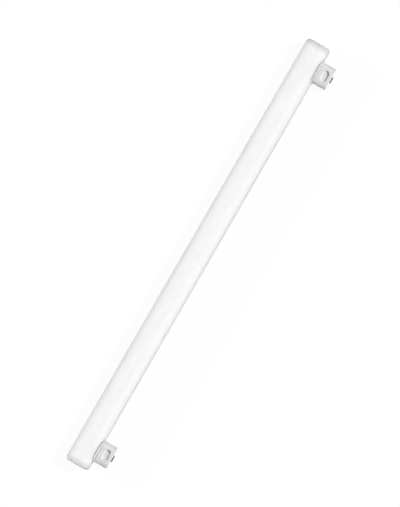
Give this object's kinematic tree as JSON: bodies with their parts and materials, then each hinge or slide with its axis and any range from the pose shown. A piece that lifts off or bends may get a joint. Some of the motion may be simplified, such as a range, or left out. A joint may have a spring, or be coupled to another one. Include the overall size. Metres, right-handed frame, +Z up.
{
  "type": "tubular light bulb",
  "caption": "Linear opal glass lamp: a closed tube with a moulded plug-in cap on its side near each end, snap-in pockets on the cap's flat sides and a brass contact on its end.",
  "frame": {"origin": "on the surface that the lamp lies on, under the middle of its box", "axes": "+X along the tube, -Y towards the caps, which dip until their lower outer edges touch the surface, and +Z up"},
  "size_m": [0.5, 0.0438, 0.027],
  "materials": {
    "opal_glass": "opal white, satin smooth",
    "cap_plastic": "moulded pale grey, fine matt",
    "contact_brass": "stamped, dulled and dark"
  },
  "bodies": {
    "root": {"glass_tube": "opal_glass", "left_cap": "cap_plastic", "right_cap": "cap_plastic", "left_contact": "contact_brass", "right_contact": "contact_brass"}
  },
  "joints": []
}
